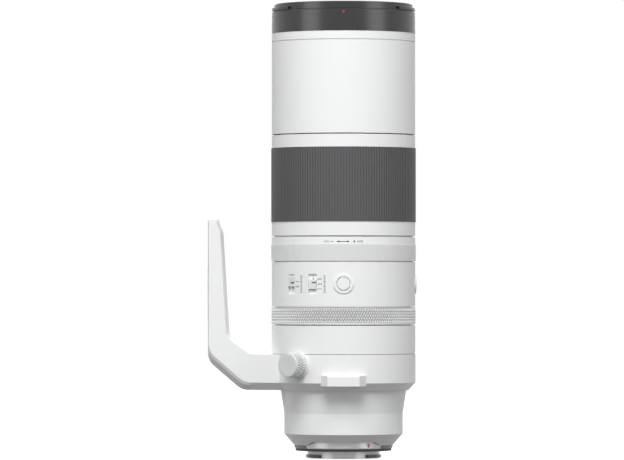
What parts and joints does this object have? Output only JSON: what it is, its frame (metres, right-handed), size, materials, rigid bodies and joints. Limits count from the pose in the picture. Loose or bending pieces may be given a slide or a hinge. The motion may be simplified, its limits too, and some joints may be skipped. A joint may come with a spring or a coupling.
{
  "type": "camera zoom lens",
  "caption": "White telephoto zoom lens with a rotating tripod collar and foot, extending front barrel, control rings and a bayonet mount.",
  "frame": {"origin": "centre of the mount face on the optical axis", "axes": "+Z along the optical axis to the front, tripod foot towards -X, slide switches towards -Y"},
  "size_m": [0.1475, 0.112, 0.3205],
  "materials": {
    "white_metal": "white heat-reflecting paint with a very fine texture, satin",
    "white_plastic": "white moulded plastic, satin",
    "white_ring": "white moulded plastic with serrations, satin",
    "knurled_white": "white anodised ring with a diamond knurl",
    "grip_rubber": "dark grey ribbed rubber",
    "front_black": "black anodised, satin",
    "mount_steel": "polished and turned mount metal",
    "seal_rubber": "black rubber",
    "black_plastic": "black moulded plastic",
    "pin_gold": "gold plated",
    "screw_steel": "bare steel",
    "board_green": "printed circuit board",
    "inner_black": "black anodised inner metal",
    "roller_brass": "plain brass",
    "blade_black": "thin black blades",
    "lens_glass": "coated optical glass",
    "insert_steel": "bare stainless steel",
    "button_white": "white moulded plastic, smooth"
  },
  "bodies": {
    "root": {"mount_ring": "mount_steel", "mount_screws": "screw_steel", "mount_seal": "seal_rubber", "contact_block": "black_plastic", "contact_pins": "pin_gold", "rear_baffle": "black_plastic", "rear_cover": "white_plastic", "control_board": "board_green", "rear_barrel": "white_metal", "guide_barrel": "inner_black", "switch_barrel": "white_plastic", "switch_board": "board_green", "rear_cell": "inner_black", "rear_lenses": "lens_glass", "focus_rods": "screw_steel", "focus_motor": "black_plastic", "iris_housing": "inner_black", "stabilizer_base": "inner_black"},
    "collar": {"tripod_collar": "white_metal", "strap_lugs": "white_metal", "foot_inserts": "insert_steel"},
    "knob": {"lock_knob": "knurled_white", "knob_stud": "screw_steel"},
    "shoe": {"clamp_shoe": "black_plastic"},
    "control": {"control_ring": "knurled_white"},
    "tension": {"tension_ring": "white_ring"},
    "zoom": {"zoom_sleeve": "white_plastic", "zoom_grip": "grip_rubber", "cam_barrel": "inner_black"},
    "front": {"extension_tube": "white_metal", "front_barrel": "white_metal", "trim_ring": "white_metal", "hood_mount": "front_black", "filter_ring": "front_black", "front_cell": "inner_black", "front_element": "lens_glass", "front_doublet": "lens_glass", "front_rollers": "roller_brass"},
    "variator": {"variator_cell": "inner_black", "variator_lenses": "lens_glass", "variator_rollers": "roller_brass"},
    "focus": {"focus_cell": "inner_black", "focus_lens": "lens_glass"},
    "stage": {"stabilizer_stage": "black_plastic"},
    "holder": {"stabilizer_holder": "black_plastic", "stabilizer_lens": "lens_glass"},
    "iris": {"iris_ring": "black_plastic"},
    "stabilizer_slider": {"stabilizer_switch": "button_white"},
    "focus_slider": {"focus_switch": "button_white"},
    "side_push": {"side_button": "button_white"},
    "top_push": {"top_button": "button_white"},
    "blade_1": {"iris_blade_1": "blade_black"},
    "blade_2": {"iris_blade_2": "blade_black"},
    "blade_3": {"iris_blade_3": "blade_black"},
    "blade_4": {"iris_blade_4": "blade_black"},
    "blade_5": {"iris_blade_5": "blade_black"},
    "blade_6": {"iris_blade_6": "blade_black"},
    "blade_7": {"iris_blade_7": "blade_black"},
    "blade_8": {"iris_blade_8": "blade_black"},
    "blade_9": {"iris_blade_9": "blade_black"}
  },
  "joints": [
    {"name": "collar_turn", "type": "hinge", "parent": "root", "child": "collar", "pos_m": [0, 0, 0.0543], "axis": [0, 0, 1], "continuous": true},
    {"name": "knob_turn", "type": "hinge", "parent": "collar", "child": "knob", "pos_m": [-0.03461, -0.04274, 0.0596], "axis": [-0.6293, -0.7771, 0], "range_deg": [0, 270]},
    {"name": "shoe_travel", "type": "slide", "parent": "collar", "child": "shoe", "axis": [-0.6293, -0.7771, 0], "range_m": [0, 0.0004]},
    {"name": "control_turn", "type": "hinge", "parent": "root", "child": "control", "pos_m": [0, 0, 0.0938], "axis": [0, 0, 1], "continuous": true},
    {"name": "tension_turn", "type": "hinge", "parent": "root", "child": "tension", "pos_m": [0, 0, 0.1407], "axis": [0, 0, 1], "range_deg": [-25, 25]},
    {"name": "zoom_turn", "type": "hinge", "parent": "root", "child": "zoom", "pos_m": [0, 0, 0.18], "axis": [0, 0, 1], "range_deg": [0, 130]},
    {"name": "front_extend", "type": "slide", "parent": "root", "child": "front", "axis": [0, 0, 1], "range_m": [0, 0.088]},
    {"name": "variator_travel", "type": "slide", "parent": "root", "child": "variator", "axis": [0, 0, 1], "range_m": [0, 0.04]},
    {"name": "focus_travel", "type": "slide", "parent": "root", "child": "focus", "axis": [0, 0, 1], "range_m": [0, 0.012]},
    {"name": "stabilizer_x", "type": "slide", "parent": "root", "child": "stage", "axis": [1, 0, 0], "range_m": [-0.001, 0.001]},
    {"name": "stabilizer_y", "type": "slide", "parent": "stage", "child": "holder", "axis": [0, 1, 0], "range_m": [-0.001, 0.001]},
    {"name": "iris_turn", "type": "hinge", "parent": "root", "child": "iris", "pos_m": [0, 0, 0.083], "axis": [0, 0, 1], "range_deg": [0, 12]},
    {"name": "stabilizer_switch_slide", "type": "slide", "parent": "root", "child": "stabilizer_slider", "axis": [0, 0, 1], "range_m": [-0.0034, 0]},
    {"name": "focus_switch_slide", "type": "slide", "parent": "root", "child": "focus_slider", "axis": [0, 0, 1], "range_m": [-0.0034, 0.0034]},
    {"name": "side_button_press", "type": "slide", "parent": "root", "child": "side_push", "axis": [0, 1, 0], "range_m": [0, 0.0006], "stiffness_N_per_m": 700},
    {"name": "top_button_press", "type": "slide", "parent": "root", "child": "top_push", "axis": [-1, 0, 0], "range_m": [0, 0.0006], "stiffness_N_per_m": 700},
    {"name": "blade_1_swing", "type": "hinge", "parent": "root", "child": "blade_1", "pos_m": [0.031, 0, 0.08], "axis": [0, 0, 1], "range_deg": [0, 25]},
    {"name": "blade_2_swing", "type": "hinge", "parent": "root", "child": "blade_2", "pos_m": [0.02375, 0.01993, 0.08], "axis": [0, 0, 1], "range_deg": [0, 25]},
    {"name": "blade_3_swing", "type": "hinge", "parent": "root", "child": "blade_3", "pos_m": [0.00538, 0.03053, 0.08], "axis": [0, 0, 1], "range_deg": [0, 25]},
    {"name": "blade_4_swing", "type": "hinge", "parent": "root", "child": "blade_4", "pos_m": [-0.0155, 0.02685, 0.08], "axis": [0, 0, 1], "range_deg": [0, 25]},
    {"name": "blade_5_swing", "type": "hinge", "parent": "root", "child": "blade_5", "pos_m": [-0.02913, 0.0106, 0.08], "axis": [0, 0, 1], "range_deg": [0, 25]},
    {"name": "blade_6_swing", "type": "hinge", "parent": "root", "child": "blade_6", "pos_m": [-0.02913, -0.0106, 0.08], "axis": [0, 0, 1], "range_deg": [0, 25]},
    {"name": "blade_7_swing", "type": "hinge", "parent": "root", "child": "blade_7", "pos_m": [-0.0155, -0.02685, 0.08], "axis": [0, 0, 1], "range_deg": [0, 25]},
    {"name": "blade_8_swing", "type": "hinge", "parent": "root", "child": "blade_8", "pos_m": [0.00538, -0.03053, 0.08], "axis": [0, 0, 1], "range_deg": [0, 25]},
    {"name": "blade_9_swing", "type": "hinge", "parent": "root", "child": "blade_9", "pos_m": [0.02375, -0.01993, 0.08], "axis": [0, 0, 1], "range_deg": [0, 25]}
  ],
  "couplings": [
    {"joint": "front_extend", "follows": "zoom_turn", "m_per_rad": 0.038784},
    {"joint": "variator_travel", "follows": "zoom_turn", "m_per_rad": 0.017629},
    {"joint": "shoe_travel", "follows": "knob_turn", "m_per_rad": 0.00008488},
    {"joint": "blade_1_swing", "follows": "iris_turn", "ratio": 2.0833},
    {"joint": "blade_2_swing", "follows": "iris_turn", "ratio": 2.0833},
    {"joint": "blade_3_swing", "follows": "iris_turn", "ratio": 2.0833},
    {"joint": "blade_4_swing", "follows": "iris_turn", "ratio": 2.0833},
    {"joint": "blade_5_swing", "follows": "iris_turn", "ratio": 2.0833},
    {"joint": "blade_6_swing", "follows": "iris_turn", "ratio": 2.0833},
    {"joint": "blade_7_swing", "follows": "iris_turn", "ratio": 2.0833},
    {"joint": "blade_8_swing", "follows": "iris_turn", "ratio": 2.0833},
    {"joint": "blade_9_swing", "follows": "iris_turn", "ratio": 2.0833}
  ]
}
